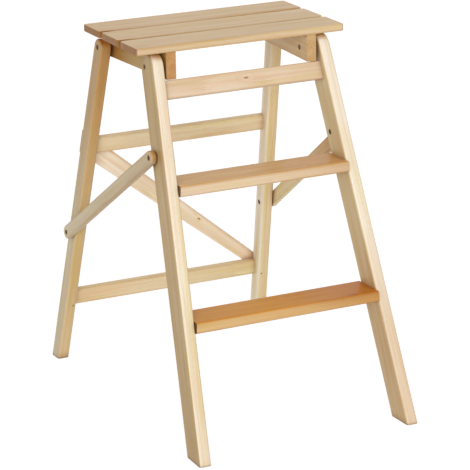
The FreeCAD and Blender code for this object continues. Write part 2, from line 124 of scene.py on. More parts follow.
class StoolWood(bpy.types.PropertyGroup):
    """Tones of the boards and sizes of the wood's figure. A face is wide and an edge is narrow. A board's
    face and edge tones differ partly as its own wood and partly as painted light and shade: the side that
    gets less light is painted darker and warmer.
    """

    slat_face: colour_property("Slats, faces", (218, 198, 164))
    slat_edge: colour_property("Slats, edges", (212, 194, 165))
    cleat_left: colour_property("Left cleat", (191, 167, 114))
    cleat_right: colour_property("Right cleat", (218, 198, 159))
    front_left_face: colour_property("Left front leg, faces", (190, 172, 133))
    front_left_edge: colour_property("Left front leg, edges", (235, 233, 222))
    front_right_face: colour_property("Right front leg, faces", (209, 196, 161))
    front_right_edge: colour_property("Right front leg, edges", (230, 224, 211))
    rail: colour_property("Top rail", (218, 204, 185))
    upper_tread_face: colour_property("Upper tread, faces", (224, 189, 134))
    upper_tread_edge: colour_property("Upper tread, edges", (220, 204, 182))
    lower_tread_face: colour_property("Lower tread, faces", (217, 155, 38))
    lower_tread_edge: colour_property("Lower tread, edges", (212, 183, 133))
    rear_left_face: colour_property("Left rear leg, faces", (198, 191, 165))
    rear_left_edge: colour_property("Left rear leg, edges", (204, 183, 144))
    rear_right_face: colour_property("Right rear leg, faces", (239, 235, 221))
    rear_right_edge: colour_property("Right rear leg, edges", (225, 210, 176))
    crossbar: colour_property("Crossbars", (229, 216, 186))
    brace: colour_property("Brace", (246, 237, 221))
    stay_left: colour_property("Left stay", (200, 193, 171))
    stay_right: colour_property("Right stay", (231, 222, 190))
    ring_width: length_property("Ring width", "Distance between two growth rings", 0.0042)
    ring_depth: share_property("Ring depth", "How dark the late wood of a ring is", 0.34)
    warmth_depth: share_property("Warmth", "How far rosy and straw streaks differ", 0.80)
    cloud_depth: share_property("Cloud depth", "How dark the broad clouds are", 0.55)
    streak_depth: share_property("Streak depth", "How dark the long streaks are", 0.60)
    hair_depth: share_property("Hair depth", "How dark the fine hair lines are", 0.45)
    fibre_depth: share_property("Fibre depth", "How dark the fine fibres are", 0.22)
    fleck_depth: share_property("Fleck depth", "How dark the short flecks are", 0.45)
    end_depth: share_property("End grain", "How dark the end grain is", 0.85)
    # Long corners: a painted highlight on the legs; elsewhere darker, partly wear and partly painted shade
    edge_depth: share_property("Corners", "How much the long corners differ", 0.60)
    edge_width: length_property("Corner width", "Width of the long corners", 0.0050)
    # painted shade at the right of each leg's front, where it turns from the light
    leg_side_shade: share_property("Leg fronts", "How deep the amber is at the right of a leg", 0.16)
    leg_highlight_width: length_property("Leg corner width", "Width of the legs' sanded corners", 0.0090)
    # Painted shade in the crevices between boards: how dark it is and how far it reaches
    crevice_shade_depth: share_property("Crevices", "How dark the crevices between boards are", 0.65)
    crevice_shade_reach: length_property("Crevice reach", "How far from a crevice the wood is dark", 0.020)
    grain_relief: length_property("Grain relief", "Depth of the grain under the varnish", 0.00012)
    gloss: share_property("Gloss", "Specular level of the bare wood", 0.18)
    varnish: share_property("Varnish", "Weight of the clear varnish", 0.30)
    varnish_roughness: share_property("Varnish roughness", "Roughness of the clear varnish", 0.27)


class StoolSteel(bpy.types.PropertyGroup):
    """Tones and sizes of the fittings."""

    bolt: colour_property("Bolts", (92, 84, 66))
    nut: colour_property("Nuts", (62, 58, 48))
    # darker and browner than bare zinc, as painted shade for the washers that show only in the shaded gaps
    zinc: colour_property("Zinc", (118, 104, 88))
    tarnish: share_property("Tarnish", "How blotched the steel is", 0.45)
    dome_share: share_property("Dome", "Share of a bolt head's thickness that is domed", 0.6)
    cross_length: length_property("Cross length", "Length of a driver recess's arms", 0.0046)
    cross_width: length_property("Cross width", "Width of a driver recess's arms", 0.0011)
    cross_depth: length_property("Cross depth", "Depth of a driver recess", 0.0013)


class StoolStage(bpy.types.PropertyGroup):
    """The camera, the lamps and the floor."""

    camera_place: bpy.props.FloatVectorProperty(
        name="Camera place", description="Where the camera stands",
        default=(-1.7626, -3.6632, 1.5526), subtype="TRANSLATION", unit="LENGTH")
    camera_turn: angle_property("Camera turn", "Turn from straight ahead towards the right", 25.9)
    camera_tilt: angle_property("Camera tilt", "Tilt above the horizon", -17.3)
    camera_roll: angle_property("Camera roll", "Roll to the left", -1.0)
    lens: level_property("Lens", "Focal length on a 36 mm sensor, in millimetres", 184.54)
    key_turn: angle_property("Key lamp turn", "Side it stands on, from the front to the left", 28)
    key_height: angle_property("Key lamp height", "Its height above the horizon", 16)
    key_size: angle_property("Key lamp size", "How wide it looks from the stool", 36)
    key_level: level_property("Key level", "Brightness that it alone gives a white card", 0.42)
    front_level: level_property("Front level", "How much brighter the studio's front wall is", 0.70)
    front_turn: angle_property("Front wall turn", "Side of its middle, from the front to the left", 10)
    front_height: angle_property("Front wall height", "Height of its middle above the horizon", 10)
    fill_level: level_property("Fill level", "Brightness of the studio's other walls", 0.50)
    fill_tint: bpy.props.FloatVectorProperty(
        name="Fill tint", description="Warmth of the light from the studio's walls",
        default=(1.0, 0.80, 0.58), subtype="COLOR", size=3, min=0.0, max=1.0)
    floor_glow: bpy.props.FloatVectorProperty(
        name="Floor glow", description="Glow that brings the lit floor up to white for the camera",
        default=(0.80, 0.82, 0.86), subtype="COLOR", size=3, min=0.0, max=1.0)
    floor_bounce: share_property("Floor bounce", "How much light the floor throws back", 0.85)
    floor_tone: share_property("Floor tone", "How strongly the floor shows shadows", 0.35)
    floor_half: length_property("Floor half width", "Half the width of the floor", 15.0)


# Shader nodes

class Shader:
    """Adds nodes to one tree. A value is a number, a tuple or another node's output."""

    def __init__(self, tree):
        self.tree = tree

    def feed(self, socket, value):
        if isinstance(value, bpy.types.NodeSocket):
            self.tree.links.new(value, socket)
        else:
            socket.default_value = value

    def node(self, kind, inputs=(), **settings):
        made = self.tree.nodes.new("ShaderNode" + kind)
        for name, value in settings.items():
            setattr(made, name, value)
        for name, value in dict(inputs).items():
            self.feed(made.inputs[name], value)
        return made

    def math(self, operation, *values):
        made = self.node("Math", operation=operation)
        for socket, value in zip(made.inputs, values):
            self.feed(socket, value)
        return made.outputs[0]

    def vector(self, operation, *values):
        made = self.node("VectorMath", operation=operation)
        for socket, value in zip(made.inputs, values):
            self.feed(socket, value)
        number = operation in ("LENGTH", "DOT_PRODUCT", "DISTANCE")
        return made.outputs["Value" if number else "Vector"]

    def rise(self, value, low, high):
        """0 below low, 1 above high, and smooth between them."""
        made = self.node("MapRange", {"Value": value, "From Min": low, "From Max": high},
                         interpolation_type="SMOOTHSTEP")
        return made.outputs["Result"]

    def fall(self, value, low, high):
        """1 below low, 0 above high, and smooth between them."""
        return self.math("SUBTRACT", 1.0, self.rise(value, low, high))

    def noise(self, place, along, across, detail=2.0):
        """Cloudy pattern whose features are about along by across metres."""
        sized = self.vector("MULTIPLY", place, (1 / along, 1 / across, 1 / across))
        made = self.node("TexNoise", {"Vector": sized, "Scale": 1.0, "Detail": detail})
        return made.outputs["Fac"]

    def feature(self, place, along, across, detail, low, high):
        """Noise that counts from one level and is full at another."""
        return self.rise(self.noise(place, along, across, detail), low, high)

    def product(self, *values):
        """All values multiplied with each other."""
        result = values[0]
        for value in values[1:]:
            result = self.math("MULTIPLY", result, value)
        return result

    def blend(self, factor, first, second, how="MIX"):
        made = self.node("Mix", data_type="RGBA", blend_type=how)
        self.feed(made.inputs[0], factor)
        self.feed(made.inputs[6], first)
        self.feed(made.inputs[7], second)
        return made.outputs[2]

    def stain(self, tone, share, tint):
        """Multiplies a tone by a tint, as far as share says."""
        return self.blend(share, tone, solid_colour(tint), "MULTIPLY")


def new_material(name):
    """A material, and what adds nodes to it."""
    material = bpy.data.materials.new(name)
    material.use_nodes = True
    return material, Shader(material.node_tree)


def solid_colour(colour):
    return (*colour, 1.0)


def tinted(colour, tint):
    return tuple(share * times for share, times in zip(colour, tint))


# Wood

class Board:
    """A board's own axes, found from its mesh: X along it, Y across its width, Z through it."""

    def __init__(self, node):
        mesh = frame["nodes"][node].data
        mesh.calc_loop_triangles()
        points = np.array([v.co for v in mesh.vertices])
        corners = points[np.array([t.vertices for t in mesh.loop_triangles])]
        areas = np.linalg.norm(np.cross(corners[:, 1] - corners[:, 0], corners[:, 2] - corners[:, 0]),
                               axis=1)
        middles = corners.mean(axis=1)
        centre = (middles * areas[:, None]).sum(axis=0) / areas.sum()
        spread = np.zeros((3, 3))
        for k in range(3):
            arm = corners[:, k] - centre
            spread += (arm * areas[:, None]).T @ arm
        arm = middles - centre
        spread += 9 * (arm * areas[:, None]).T @ arm
        sizes, axes = np.linalg.eigh(spread)
        axes = axes[:, np.argsort(sizes)[::-1]]
        for k in range(2):
            if axes[np.abs(axes[:, k]).argmax(), k] < 0:
                axes[:, k] *= -1
        axes[:, 2] = np.cross(axes[:, 0], axes[:, 1])
        reach = (points - centre) @ axes
        low, high = reach.min(axis=0), reach.max(axis=0)
        self.turn = Matrix(axes.tolist())
        self.centre = Vector(centre) + self.turn @ Vector((low + high) / 2)
        self.half = Vector((high - low) / 2)

    def along(self, point):
        """A point of the part in the board's own axes."""
        return self.turn.transposed() @ (Vector(point) - self.centre)


# Noises that make the features: sizes along the grain and across it in metres, detail, and the
# levels at which a feature starts and is full
RING_PATCHES = (0.25, 0.016, 2.0, 0.34, 0.66)
CLOUDS = (0.16, 0.030, 2.0, 0.34, 0.66)
STREAKS = (0.45, 0.009, 3.0, 0.36, 0.70)
HAIRS = (0.16, 0.0016, 2.0, 0.44, 0.78)
FIBRES = (0.035, 0.0008, 2.0, 0.25, 0.75)
FLECKS = (0.005, 0.0007, 2.0, 0.58, 0.70)
FLECK_PATCHES = (0.06, 0.02, 2.0, 0.38, 0.66)
PORES = (0.0008, 0.0008, 2.0, 0.45, 0.65)
OIL_BLOTCHES = (0.0024, 0.0024, 4.0, 0.35, 0.68)
HANDLING_MARKS = (0.0003, 0.0012, 2.0, 0.40, 0.66)

# Rosy and straw streaks come from the low and the high part of one noise
WARMTH = (0.30, 0.014)
BLUSH_LEVELS = (0.34, 0.50)
STRAW_LEVELS = (0.50, 0.66)

# The trunk's centre line drifts, the trunk tapers and its rings are uneven
DRIFT_LENGTH = 0.4
DRIFT_WIDTH = 0.07
DRIFT_REACH = 0.014
TRUNK_TAPER = 0.018
RING_UNEVENNESS = (0.6, 0.02, 3.0)
UNEVEN_YEARS = 3.0
LATE_WOOD_GROWS = (0.15, 0.90)
LATE_WOOD_ENDS = (0.91, 1.0)


def growth_rings(shader, place, wood):
    """The dark late wood of rings round a trunk that is neither round nor straight."""
    sized = shader.vector("MULTIPLY", place, (1 / DRIFT_LENGTH, 1 / DRIFT_WIDTH, 1 / DRIFT_WIDTH))
    drift = shader.node("TexNoise", {"Vector": sized, "Scale": 1.0, "Detail": 2.0}).outputs["Color"]
    drift = shader.vector("SUBTRACT", drift, (0.5, 0.5, 0.5))
    drift = shader.vector("MULTIPLY", drift, (0.0, DRIFT_REACH, DRIFT_REACH))
    bent = shader.node("SeparateXYZ", {"Vector": shader.vector("ADD", place, drift)})
    aside = bent.outputs["Y"]
    depth = shader.math("ADD", bent.outputs["Z"], shader.product(bent.outputs["X"], TRUNK_TAPER))
    square = shader.math("ADD", shader.product(aside, aside), shader.product(depth, depth))
    years = shader.math("DIVIDE", shader.math("SQRT", square), wood.ring_width)
    uneven = shader.product(shader.noise(place, *RING_UNEVENNESS), UNEVEN_YEARS)
    season = shader.math("FRACT", shader.math("ADD", years, uneven))
    late = shader.product(shader.rise(season, *LATE_WOOD_GROWS), shader.fall(season, *LATE_WOOD_ENDS))
    return shader.product(late, shader.feature(place, *RING_PATCHES))


def wood_figure(wood):
    """Node group that cuts a board out of a trunk, with one output for each feature."""
    tree = bpy.data.node_groups.get("Wood figure")
    if tree:
        return tree
    tree = bpy.data.node_groups.new("Wood figure", "ShaderNodeTree")
    for name in ("Board", "Place in trunk"):
        tree.interface.new_socket(name, in_out="INPUT", socket_type="NodeSocketVector")
    shader = Shader(tree)
    entry = tree.nodes.new("NodeGroupInput")
    place = shader.vector("ADD", entry.outputs["Board"], entry.outputs["Place in trunk"])
    warmth = shader.noise(place, *WARMTH)
    features = {
        "Rings": growth_rings(shader, place, wood),
        "Clouds": shader.feature(place, *CLOUDS),
        "Streaks": shader.feature(place, *STREAKS),
        "Hairs": shader.feature(place, *HAIRS),
        "Fibres": shader.feature(place, *FIBRES),
        "Flecks": shader.product(shader.feature(place, *FLECKS), shader.feature(place, *FLECK_PATCHES)),
        "Blush": shader.fall(warmth, *BLUSH_LEVELS),
        "Straw": shader.rise(warmth, *STRAW_LEVELS),
    }
    leave = tree.nodes.new("NodeGroupOutput")
    for name, value in features.items():
        tree.interface.new_socket(name, in_out="OUTPUT", socket_type="NodeSocketFloat")
        shader.feed(leave.inputs[name], value)
    return tree


# Where a board was cut from its trunk, as metres along it, across it and out from its centre
TRUNK_PLACES = {
    "seat_slat_front": (0.3, 0.012, 0.085), "seat_slat_middle": (1.7, -0.020, 0.070),
    "seat_slat_rear": (2.9, 0.006, 0.060), "cleat_left": (4.1, 0.045, 0.030),
    "cleat_right": (5.6, 0.060, 0.025), "front_leg_left": (7.2, 0.070, 0.040),
    "front_leg_right": (8.9, 0.065, 0.050), "top_rail": (10.3, 0.010, 0.055),
    "tread_upper": (11.8, -0.015, 0.062), "tread_lower": (13.1, 0.022, 0.048),
    "rear_leg_left": (14.6, 0.055, 0.035), "rear_leg_right": (16.2, 0.060, 0.045),
    "crossbar_upper": (17.4, 0.014, 0.058), "crossbar_lower": (18.8, -0.012, 0.066),
    "diagonal_brace": (20.1, 0.008, 0.050), "stay_left": (21.7, 0.010, 0.064),
    "stay_right": (23.2, -0.014, 0.057),
}

# How deep the warm darkening is at a board's two ends: the lower, left or front end first. Where an end lies
# under the seat or behind a leg, as the left cleat's rear end, the left rear leg's top and the right stay's
# front end, it is painted shade
END_DARKENING = {
    "front_leg_left": (0.25, 0.20), "front_leg_right": (0.40, 0.00), "rear_leg_left": (0.05, 0.75),
    "cleat_left": (0.00, 1.00), "cleat_right": (0.20, 0.00), "top_rail": (0.00, 0.20),
    "tread_upper": (0.00, 0.40), "tread_lower": (0.10, 0.75), "crossbar_lower": (0.20, 0.00),
    "diagonal_brace": (0.00, 0.30), "stay_left": (0.25, 0.00), "stay_right": (1.00, 0.00),
    "seat_slat_rear": (0.16, 0.10),
}

# Knots, as (board, place in the part, half length along the grain, half width)
KNOTS = (
    ("top_rail", (0.0042, -0.0783, 0.5880), 0.0050, 0.0019),
    ("diagonal_brace", (0.0635, 0.2511, 0.2405), 0.0045, 0.0020),
    ("tread_lower", (0.1261, -0.2325, 0.2240), 0.0110, 0.0022),
)

# The slats whose front edge shows through the gap before them, and gets painted shade there
GAP_SLATS = ("seat_slat_middle", "seat_slat_rear")

# The features below only darken a board, so its tone is first raised by what they take away
# on average, and the board then shows its tone as written
TONE_RAISE = (1.08, 1.15, 1.26)

# What each feature of the wood, and each painted light or shade, multiplies a board's tone by, where it is
# strongest
# warm painted shade towards some ends and at the right of the legs' fronts
WARM_SHADE_TINT = (0.70, 0.45, 0.20)
BLUSH_TINT = (1.00, 0.91, 0.86)
STRAW_TINT = (0.97, 0.94, 0.74)
CLOUD_TINT = (0.93, 0.87, 0.76)
STREAK_TINT = (0.90, 0.81, 0.66)
RING_TINT = (0.82, 0.68, 0.50)
HAIR_TINT = (0.84, 0.73, 0.56)
FIBRE_TINT = (0.86, 0.76, 0.62)
FLECK_TINT = (0.62, 0.46, 0.30)
END_TINT = (0.44, 0.25, 0.11)
STAY_END_TINT = (0.96, 0.62, 0.25)
# painted shade in the gaps between the slats
GAP_SHADE_TINT = (0.50, 0.30, 0.10)
LEG_END_TINT = (0.95, 0.60, 0.22)
LEFT_CLEAT_END_TINT = (1.00, 0.75, 0.74)
RIGHT_CLEAT_END_TINT = (0.84, 0.76, 0.69)
PORE_TINT = (0.50, 0.34, 0.20)
# the treads' end grain, made darker still as painted shade where it stands against the legs
TREAD_END_SHADE_TINT = (0.22, 0.13, 0.07)
# darker corners, partly wear and collected varnish, partly painted shade
CORNER_TINT = (0.78, 0.62, 0.42)
# painted highlight on the legs' rounded corners
CORNER_HIGHLIGHT_TINT = (1.10, 1.16, 1.26)
# painted shade in the crevices
CREVICE_SHADE_TINT = (0.40, 0.18, 0.08)
BORE_TINT = (0.34, 0.24, 0.14)
KNOT_TINT = (0.40, 0.25, 0.14)
DIRT_TINT = (0.42, 0.36, 0.30)

# How deep some of these tints go, as shares
RINGS_ON_ENDS = 0.35
PORE_DEPTH = 0.35
# least share of the corner tint, raised where the streaks are
LEAST_CORNER_SHARE = 0.45
BORE_DEPTH = 0.60
KNOT_DEPTH = 0.80
# the painted crevice shade is fainter between the slats
SLAT_CREVICE_SHADE = 0.50
LEG_END_LIGHT = 0.85
DIRT_DEPTH = 0.50

# Soft steps, as the values between which a feature grows or fades
FACE_TURN = (0.45, 0.90)          # share of the normal that looks through the board
END_TURN = (0.30, 0.85)           # share of the normal that looks along the board
GAP_SHADE_TURN = (0.50, 0.90)        # share of the normal that looks forwards
GAP_SHADE_REACH = (-0.98, -0.80)     # place along a slat, from -1 to 1
LOW_END_DARKENING = (-0.95, 0.30)     # place along a board, from -1 to 1
HIGH_END_DARKENING = (-0.30, 0.95)
LEG_SIDE_SHADE = (-0.30, 0.90)        # place across a leg's front, from -1 to 1
KNOT_CORE = (0.55, 1.25)          # distance from a knot's middle, in its own half sizes
KNOT_SWELL = (0.0, 5.0)
OPEN_SKY = (0.20, 0.90)           # share of its surroundings that a point sees
FOOT_DIRT = (0.0008, 0.0045)      # height above the floor

# How far a knot lifts the rings, in its own half widths, and where the tints of the corners and of the rings
# round bores start and end
KNOT_LIFT = 2.2
CORNER_START = 1.0 * MILLIMETRE
BORE_GAP = 0.6 * MILLIMETRE
BORE_RING_WIDTH = 1.0 * MILLIMETRE

# Roughness of the bare wood, and what fibres and end grain add to it
ROUGHNESS = 0.44
FIBRE_ROUGHNESS = 0.10
END_ROUGHNESS = 0.22

# Shares of fibres and rings in the relief, and its strength
FIBRE_RELIEF = 0.6
RING_RELIEF = 0.4
RELIEF_STRENGTH = 0.5


def pivots():
    """Where the pivots' bores run through the side view, as (Y, Z), and the radius of their heads."""
    found = [(j["pos_m"][1], j["pos_m"][2]) for j in frame["joints"]]
    low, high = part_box("stay_bottom_bolt_left")
    found.append(((low.y + high.y) / 2, (low.z + high.z) / 2))
    return found, (high.z - low.z) / 2


class BoardFinish:
    """One board's cut of the wood: where a point is on the board, and its tone, stain by stain."""

    def __init__(self, node, wood):
        self.node = node
        self.wood = wood
        self.board = Board(node)
        # the legs' corners carry a painted highlight
        self.sanded = "leg" in node
        self.material, self.shader = new_material("Wood " + node)
        source = self.shader.node("TexCoord")
        self.point = source.outputs["Object"]
        self.normal = source.outputs["Normal"]
        lay = {"Vector": self.point, "Location": self.board.centre, "Rotation": self.board.turn.to_euler()}
        self.place = self.shader.node("Mapping", lay, vector_type="TEXTURE").outputs["Vector"]
        shares = self.shader.vector("DIVIDE", self.place, tuple(self.board.half))
        shares = self.shader.node("SeparateXYZ", {"Vector": shares})
        self.along = shares.outputs["X"]
        self.through = shares.outputs["Z"]
        self.knot_cores, pushed = self.pushed_by_knots()
        figure = self.shader.node("Group", node_tree=wood_figure(wood))
        self.shader.feed(figure.inputs["Board"], pushed)
        self.shader.feed(figure.inputs["Place in trunk"], TRUNK_PLACES[node])
        self.figure = figure.outputs
        self.ends = self.turned_to(self.board.turn.col[0], *END_TURN)

    def turned_to(self, direction, low, high):
        """1 where the surface looks along a direction, either way, and 0 where it looks across it."""
        share = self.shader.vector("DOT_PRODUCT", self.normal, direction)
        return self.shader.rise(self.shader.math("ABSOLUTE", share), low, high)

    def pushed_by_knots(self):
        """Knots are dark in the middle and push the rings aside."""
        shader = self.shader
        cores = 0.0
        pushed = self.place
        for name, point, half_length, half_width in KNOTS:
            if name == self.node:
                away = shader.vector("SUBTRACT", self.place, self.board.along(point))
                away = shader.vector("DIVIDE", away, (half_length, half_width, half_width))
                away = shader.vector("LENGTH", away)
                cores = shader.math("MAXIMUM", cores, shader.fall(away, *KNOT_CORE))
                swell = shader.product(shader.fall(away, *KNOT_SWELL), KNOT_LIFT * half_width)
                push = shader.node("CombineXYZ", {"Z": swell}).outputs["Vector"]
                pushed = shader.vector("ADD", pushed, push)
        return cores, pushed

    def stain(self, tint, *shares):
        """Multiplies the tone by a tint, as far as the product of the shares says."""
        self.tone = self.shader.stain(self.tone, self.shader.product(*shares), tint)

    def base(self, face, edge):
        """The wide faces look through the board and have one tone, the narrow edges another. The two tones
        are partly the board's own wood and partly painted light and shade, with the side that gets less light
        painted darker and warmer.
        """
        on_face = self.turned_to(self.board.turn.col[2], *FACE_TURN)
        # Face and edge tones: partly the wood's own, partly painted light and shade
        self.tone = self.shader.blend(on_face, solid_colour(edge), solid_colour(face))
        self.stain(TONE_RAISE, 1.0)

    def grain(self):
        """The features of the wood, of which hairs and flecks don't show on the end grain."""
        wood = self.wood
        figure = self.figure
        off_ends = self.shader.math("SUBTRACT", 1.0, self.ends)
        more_on_ends = self.shader.product(self.ends, RINGS_ON_ENDS)
        ring_depth = self.shader.math("ADD", wood.ring_depth, more_on_ends)
        self.stain(BLUSH_TINT, figure["Blush"], wood.warmth_depth)
        self.stain(STRAW_TINT, figure["Straw"], wood.warmth_depth)
        self.stain(CLOUD_TINT, figure["Clouds"], wood.cloud_depth)
        self.stain(STREAK_TINT, figure["Streaks"], wood.streak_depth)
        self.stain(RING_TINT, figure["Rings"], ring_depth)
        self.stain(HAIR_TINT, figure["Hairs"], off_ends, wood.hair_depth)
        self.stain(FIBRE_TINT, figure["Fibres"], wood.fibre_depth)
        self.stain(FLECK_TINT, figure["Flecks"], off_ends, wood.fleck_depth)

    def end_grain(self, tint):
        """The end grain is darker, with open pores."""
        self.stain(tint, self.ends, self.wood.end_depth)
        self.stain(PORE_TINT, self.ends, self.shader.feature(self.place, *PORES), PORE_DEPTH)

    def corners(self):
        """Long corners differ a little from the faces: a painted highlight makes them pale on the legs;
        elsewhere they are darker, partly as wear and collected varnish and partly as painted shade where the
        rounding turns from the light.
        """
        shader = self.shader
        apart = shader.vector("SUBTRACT", tuple(self.board.half), shader.vector("ABSOLUTE", self.place))
        sides = shader.node("SeparateXYZ", {"Vector": apart})
        to_corner = shader.math("ADD", sides.outputs["Y"], sides.outputs["Z"])
        by_streaks = shader.product(self.figure["Streaks"], 1.0 - LEAST_CORNER_SHARE)
        corner_share = shader.math("ADD", LEAST_CORNER_SHARE, by_streaks)
        width = self.wood.leg_highlight_width if self.sanded else self.wood.edge_width
        tint = CORNER_HIGHLIGHT_TINT if self.sanded else CORNER_TINT
        self.stain(tint, shader.fall(to_corner, CORNER_START, width), corner_share, self.wood.edge_depth)

    def amber(self):
        """Darker and warmer towards some ends, and towards the right of the legs' fronts: painted shade under
        the seat, behind the legs, and where a leg's front turns away from the light.
        """
        shader = self.shader
        low_end, high_end = END_DARKENING.get(self.node, (0.0, 0.0))
        depth = shader.math("ADD", shader.product(shader.fall(self.along, *LOW_END_DARKENING), low_end),
                            shader.product(shader.rise(self.along, *HIGH_END_DARKENING), high_end))
        # painted shade where a leg's front turns to the right, away from the light
        if self.sanded:
            rightwards = shader.product(self.through, math.copysign(1.0, self.board.turn.col[2].x))
            at_side = shader.product(shader.rise(rightwards, *LEG_SIDE_SHADE), self.wood.leg_side_shade)
            depth = shader.math("ADD", depth, at_side)
        self.stain(WARM_SHADE_TINT, depth)

    def bores(self):
        """The wood is darker in a thin ring round each bolt head."""
        shader = self.shader
        places, head_radius = pivots()
        from_bore = 1.0
        for y, z in places:
            away = shader.vector("SUBTRACT", self.point, (0.0, y, z))
            away = shader.vector("LENGTH", shader.vector("MULTIPLY", away, (0.0, 1.0, 1.0)))
            from_bore = shader.math("MINIMUM", from_bore, away)
        rim = head_radius + BORE_GAP
        self.stain(BORE_TINT, shader.fall(from_bore, rim, rim + BORE_RING_WIDTH), BORE_DEPTH)

    def knots(self):
        self.stain(KNOT_TINT, self.knot_cores, KNOT_DEPTH)

    def gap_shade(self):
        """Painted shade on a slat's front edge at its left end, where it shows through the gap."""
        forwards = self.shader.vector("DOT_PRODUCT", self.normal, (0.0, -1.0, 0.0))
        self.stain(GAP_SHADE_TINT, self.shader.rise(forwards, *GAP_SHADE_TURN),
                   self.shader.fall(self.along, *GAP_SHADE_REACH))

    def crevices(self):
        """Painted shade darkens the crevices, but light gets between the slats and over the legs, so the
        painted shade is fainter there.
        """
        shader = self.shader
        # Ambient occlusion drives the painted shade in the crevices
        hollow = shader.node("AmbientOcclusion", {"Distance": self.wood.crevice_shade_reach}, samples=8)
        depth = self.wood.crevice_shade_depth * (SLAT_CREVICE_SHADE if "slat" in self.node else 1.0)
        crevice_shade = shader.product(shader.fall(hollow.outputs["AO"], *OPEN_SKY), depth)
        if self.sanded:
            off_ends = shader.math("SUBTRACT", 1.0, shader.product(self.ends, LEG_END_LIGHT))
            crevice_shade = shader.product(crevice_shade, off_ends)
        self.stain(CREVICE_SHADE_TINT, crevice_shade)

    def feet(self):
        """Feet pick up dirt along their lowest edge."""
        height = self.shader.node("SeparateXYZ", {"Vector": self.point}).outputs["Z"]
        self.stain(DIRT_TINT, self.shader.fall(height, *FOOT_DIRT), DIRT_DEPTH)

    def varnished(self):
        """Feeds the tone, the roughness and the relief to the surface, under a clear varnish."""
        shader = self.shader
        surface = self.material.node_tree.nodes["Principled BSDF"]
        shader.feed(surface.inputs["Base Color"], self.tone)
        fibres = self.figure["Fibres"]
        rough = shader.math("ADD", ROUGHNESS, shader.product(fibres, FIBRE_ROUGHNESS))
        rough = shader.math("ADD", rough, shader.product(self.ends, END_ROUGHNESS))
        shader.feed(surface.inputs["Roughness"], rough)
        sunk = shader.math("ADD", shader.product(fibres, FIBRE_RELIEF),
                           shader.product(self.figure["Rings"], RING_RELIEF))
        bump = shader.node("Bump", {"Height": shader.math("SUBTRACT", 1.0, sunk),
                                    "Strength": RELIEF_STRENGTH, "Distance": self.wood.grain_relief})
        shader.feed(surface.inputs["Normal"], bump.outputs["Normal"])
        surface.inputs["Specular IOR Level"].default_value = self.wood.gloss
        surface.inputs["Coat Weight"].default_value = self.wood.varnish
        surface.inputs["Coat Roughness"].default_value = self.wood.varnish_roughness
        return self.material


def finish_board(node, face, edge, wood, end_tint=END_TINT):
    """Gives a board its own cut of the wood, with one tone for its faces and another for its edges."""
    finish = BoardFinish(node, wood)
    finish.base(face, edge)
    finish.grain()
    finish.end_grain(end_tint)
    finish.corners()
    finish.amber()
    finish.bores()
    finish.knots()
    if node in GAP_SLATS:
        finish.gap_shade()
    finish.crevices()
    finish.feet()
    dress(node, finish.varnished())


def dress(node, material):
    """Puts one material on a node of the frame."""
    mesh = frame["nodes"][node].data
    mesh.materials.clear()
    mesh.materials.append(material)


# Steel

# What blotches of oil and marks from handling do to the steel's tone, roughness and relief
BLOTCH_TINT = (0.42, 0.38, 0.32)
MARK_TINT = (1.25, 1.25, 1.22)
MARK_SHARE = 0.2
BLOTCH_ROUGHNESS = 0.22
MARK_STRENGTH = 0.35
MARK_RELIEF = 0.03 * MILLIMETRE

# Parts of a fastener that are looked for in its mesh
TOP_LAYER = 0.02 * MILLIMETRE
TAIL_LAYER = 0.2 * MILLIMETRE
WIDE_SHARE = 0.97

# Sizes of fasteners: chamfers and points in shank radii, and how a recess narrows
SHANK_CHAMFER = 0.12
SCREW_POINT = 2.2
SCREW_HEAD_HEIGHT = 2.5 * MILLIMETRE
SCREW_HEAD_LAND = 0.15 * MILLIMETRE
RECESS_TAPER = (1.0, 0.6, 0.8)
DOME_STEPS = 8
SHARP_ANGLE = math.radians(32)


def steel(name, colour, roughness, tarnish):
    """Steel with blotches of oil or dull zinc and fine marks from handling."""
    material, shader = new_material(name)
    surface = material.node_tree.nodes["Principled BSDF"]
    place = shader.node("TexCoord").outputs["Object"]
    blotches = shader.feature(place, *OIL_BLOTCHES)
    marks = shader.feature(place, *HANDLING_MARKS)
    tone = shader.blend(shader.product(blotches, tarnish), solid_colour(colour),
                        solid_colour(tinted(colour, BLOTCH_TINT)))
    tone = shader.blend(shader.product(marks, MARK_SHARE), tone, solid_colour(tinted(colour, MARK_TINT)))
    shader.feed(surface.inputs["Base Color"], tone)
    rough = shader.math("ADD", roughness, shader.product(blotches, BLOTCH_ROUGHNESS))
    shader.feed(surface.inputs["Roughness"], rough)
    bump = shader.node("Bump", {"Height": marks, "Strength": MARK_STRENGTH, "Distance": MARK_RELIEF})
    shader.feed(surface.inputs["Normal"], bump.outputs["Normal"])
    surface.inputs["Metallic"].default_value = 1.0
    return material


def shared_steel(name, colour, roughness, sizes):
    found = bpy.data.materials.get(name)
    return found or steel(name, colour, roughness, sizes.tarnish)


def bolt_steel(sizes):
    return shared_steel("Oiled steel", sizes.bolt, 0.34, sizes)


def nut_steel(sizes):
    return shared_steel("Blackened steel", sizes.nut, 0.38, sizes)


def zinc_steel(sizes):
    return shared_steel("Dull zinc", sizes.zinc, 0.30, sizes)


def solids(node):
    """The points of each separate solid of a node, from left to right."""
    mesh = bmesh.new()
    mesh.from_mesh(frame["nodes"][node].data)
    bmesh.ops.remove_doubles(mesh, verts=mesh.verts, dist=0.001 * MILLIMETRE)
    mesh.verts.ensure_lookup_table()
    left = set(mesh.verts)
    found = []
    for first in mesh.verts:
        if first not in left:
            continue
        left.remove(first)
        waiting = [first]
        group = []
        while waiting:
            vert = waiting.pop()
            group.append(vert.co.copy())
            for edge in vert.link_edges:
                other = edge.other_vert(vert)
                if other in left:
                    left.remove(other)
                    waiting.append(other)
        found.append(group)
    mesh.free()
    return sorted(found, key=lambda group: (round(group_middle(group).x, 4), round(group_middle(group).z, 4)))


